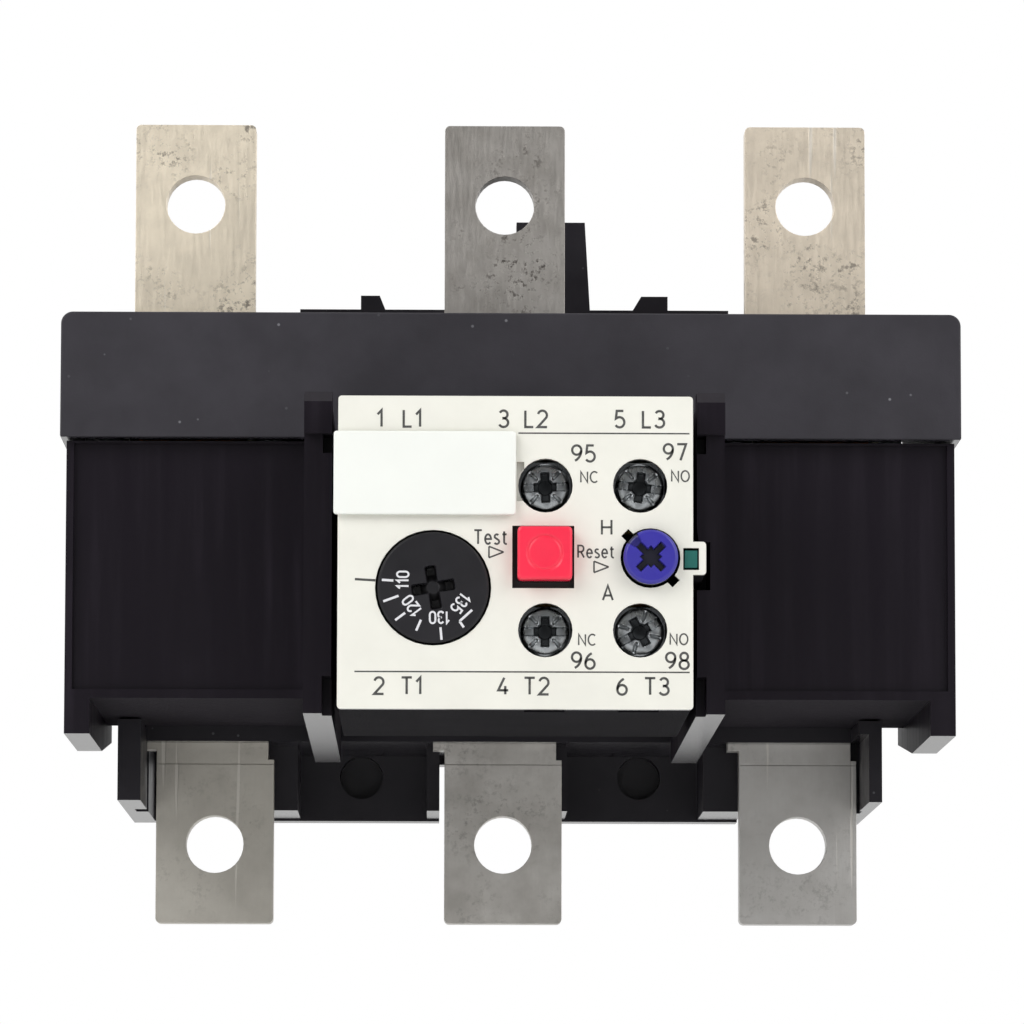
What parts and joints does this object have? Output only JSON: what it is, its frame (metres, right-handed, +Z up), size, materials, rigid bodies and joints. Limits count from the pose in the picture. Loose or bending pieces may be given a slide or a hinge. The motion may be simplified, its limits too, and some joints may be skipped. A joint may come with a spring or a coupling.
{
  "type": "thermal overload relay",
  "caption": "Motor overload relay with through busbars, current transformers, a dial, test and reset buttons, a trip flag and screw terminals.",
  "frame": {"origin": "centre of the rear mounting face", "axes": "+Z up as installed, -Y towards the operating face, +X to the right seen from the front"},
  "size_m": [0.1212, 0.1375, 0.1098],
  "materials": {
    "base_plastic": "satin",
    "housing_plastic": "gloss",
    "cover_plastic": "matte",
    "case_plastic": "satin",
    "plate_plastic": "matte",
    "label_plastic": "satin",
    "dial_plastic": "satin",
    "red_plastic": "satin",
    "blue_plastic": "satin",
    "green_plastic": "satin",
    "busbar_metal": "tin-plated, satin",
    "screw_steel": "zinc-plated, dark",
    "contact_brass": "satin",
    "spring_steel": "bright",
    "core_steel": "laminated",
    "winding_wire": "enamelled copper wire",
    "inner_plastic": "natural",
    "lead_sleeve": "matte"
  },
  "bodies": {
    "root": {"rear_base": "base_plastic", "transformer_housing": "housing_plastic", "top_cover": "cover_plastic", "busbar_left": "busbar_metal", "transformer_core_left": "core_steel", "bobbin_left": "inner_plastic", "winding_left": "winding_wire", "secondary_lead_left": "lead_sleeve", "busbar_middle": "busbar_metal", "transformer_core_middle": "core_steel", "bobbin_middle": "inner_plastic", "winding_middle": "winding_wire", "secondary_lead_middle": "lead_sleeve", "busbar_right": "busbar_metal", "transformer_core_right": "core_steel", "bobbin_right": "inner_plastic", "winding_right": "winding_wire", "secondary_lead_right": "lead_sleeve", "assembly_screw_lower_left": "screw_steel", "assembly_screw_upper_left": "screw_steel", "assembly_screw_lower_right": "screw_steel", "assembly_screw_upper_right": "screw_steel", "module_case": "case_plastic", "front_plate": "plate_plastic", "blank_label": "label_plastic", "test_spring": "spring_steel", "reset_spring": "spring_steel", "terminal_plate_95": "contact_brass", "terminal_plate_96": "contact_brass", "terminal_plate_97": "contact_brass", "terminal_plate_98": "contact_brass", "mechanism_frame": "inner_plastic", "snap_spring": "spring_steel", "bimetal_carrier": "inner_plastic", "bimetal_strip_left": "spring_steel", "heater_left": "winding_wire", "bimetal_strip_middle": "spring_steel", "heater_middle": "winding_wire", "bimetal_strip_right": "spring_steel", "heater_right": "winding_wire"},
    "test_button": {"test_button": "red_plastic"},
    "reset_plunger": {"reset_plunger": "inner_plastic"},
    "reset_knob": {"reset_knob": "blue_plastic"},
    "current_dial": {"current_dial": "dial_plastic"},
    "trip_indicator": {"trip_indicator": "green_plastic"},
    "contact_rocker": {"contact_rocker": "inner_plastic", "nc_contact_bridge": "contact_brass", "no_contact_bridge": "contact_brass"},
    "trip_lever": {"trip_lever": "inner_plastic", "compensation_bimetal": "spring_steel"},
    "trip_slide": {"trip_slide": "inner_plastic"},
    "differential_slide": {"differential_slide": "inner_plastic"},
    "clamp_washer_95": {"clamp_washer_95": "screw_steel"},
    "terminal_screw_95": {"terminal_screw_95": "screw_steel"},
    "clamp_washer_96": {"clamp_washer_96": "screw_steel"},
    "terminal_screw_96": {"terminal_screw_96": "screw_steel"},
    "clamp_washer_97": {"clamp_washer_97": "screw_steel"},
    "terminal_screw_97": {"terminal_screw_97": "screw_steel"},
    "clamp_washer_98": {"clamp_washer_98": "screw_steel"},
    "terminal_screw_98": {"terminal_screw_98": "screw_steel"}
  },
  "joints": [
    {"name": "test_push", "type": "slide", "parent": "root", "child": "test_button", "axis": [0, 1, 0], "range_m": [0, 0.0025], "stiffness_N_per_m": 400, "springref_m": -0.001, "deforming": ["test_spring"]},
    {"name": "reset_push", "type": "slide", "parent": "root", "child": "reset_plunger", "axis": [0, 1, 0], "range_m": [0, 0.0025], "stiffness_N_per_m": 400, "springref_m": -0.001, "deforming": ["reset_spring"]},
    {"name": "reset_turn", "type": "hinge", "parent": "reset_plunger", "child": "reset_knob", "pos_m": [0.0171, -0.135, -0.01325], "axis": [0, -1, 0], "range_deg": [0, 90]},
    {"name": "dial_turn", "type": "hinge", "parent": "root", "child": "current_dial", "pos_m": [-0.0104, -0.135, -0.0171], "axis": [0, 1, 0], "range_deg": [0, 142]},
    {"name": "contact_snap", "type": "hinge", "parent": "root", "child": "contact_rocker", "pos_m": [0.0098, -0.1102, -0.01325], "axis": [0, 0, -1], "range_deg": [0, 12], "deforming": ["snap_spring"]},
    {"name": "indicator_slide", "type": "slide", "parent": "root", "child": "trip_indicator", "axis": [0, -1, 0], "range_m": [0, 0.0018]},
    {"name": "trip_slide_move", "type": "slide", "parent": "root", "child": "trip_slide", "axis": [-1, 0, 0], "range_m": [0, 0.0016]},
    {"name": "differential_slide_move", "type": "slide", "parent": "root", "child": "differential_slide", "axis": [-1, 0, 0], "range_m": [0, 0.0016]},
    {"name": "lever_turn", "type": "hinge", "parent": "root", "child": "trip_lever", "pos_m": [-0.015, -0.108, -0.01325], "axis": [0, 0, 1], "range_deg": [0, 7.64]},
    {"name": "clamp_95_lift", "type": "slide", "parent": "root", "child": "clamp_washer_95", "axis": [0, -1, 0], "range_m": [0, 0.0024]},
    {"name": "screw_95_turn", "type": "hinge", "parent": "clamp_washer_95", "child": "terminal_screw_95", "pos_m": [0.0038, -0.135, -0.00405], "axis": [0, -1, 0], "range_deg": [0, 1440]},
    {"name": "clamp_96_lift", "type": "slide", "parent": "root", "child": "clamp_washer_96", "axis": [0, -1, 0], "range_m": [0, 0.0024]},
    {"name": "screw_96_turn", "type": "hinge", "parent": "clamp_washer_96", "child": "terminal_screw_96", "pos_m": [0.0038, -0.135, -0.02245], "axis": [0, -1, 0], "range_deg": [0, 1440]},
    {"name": "clamp_97_lift", "type": "slide", "parent": "root", "child": "clamp_washer_97", "axis": [0, -1, 0], "range_m": [0, 0.0024]},
    {"name": "screw_97_turn", "type": "hinge", "parent": "clamp_washer_97", "child": "terminal_screw_97", "pos_m": [0.0158, -0.135, -0.00405], "axis": [0, -1, 0], "range_deg": [0, 1440]},
    {"name": "clamp_98_lift", "type": "slide", "parent": "root", "child": "clamp_washer_98", "axis": [0, -1, 0], "range_m": [0, 0.0024]},
    {"name": "screw_98_turn", "type": "hinge", "parent": "clamp_washer_98", "child": "terminal_screw_98", "pos_m": [0.0158, -0.135, -0.02245], "axis": [0, -1, 0], "range_deg": [0, 1440]}
  ],
  "couplings": [
    {"joint": "contact_snap", "follows": "indicator_slide", "rad_per_m": 116.36},
    {"joint": "differential_slide_move", "follows": "trip_slide_move", "ratio": 1},
    {"joint": "lever_turn", "follows": "trip_slide_move", "rad_per_m": 83.333},
    {"joint": "screw_95_turn", "follows": "clamp_95_lift", "rad_per_m": 10472},
    {"joint": "screw_96_turn", "follows": "clamp_96_lift", "rad_per_m": 10472},
    {"joint": "screw_97_turn", "follows": "clamp_97_lift", "rad_per_m": 10472},
    {"joint": "screw_98_turn", "follows": "clamp_98_lift", "rad_per_m": 10472}
  ]
}
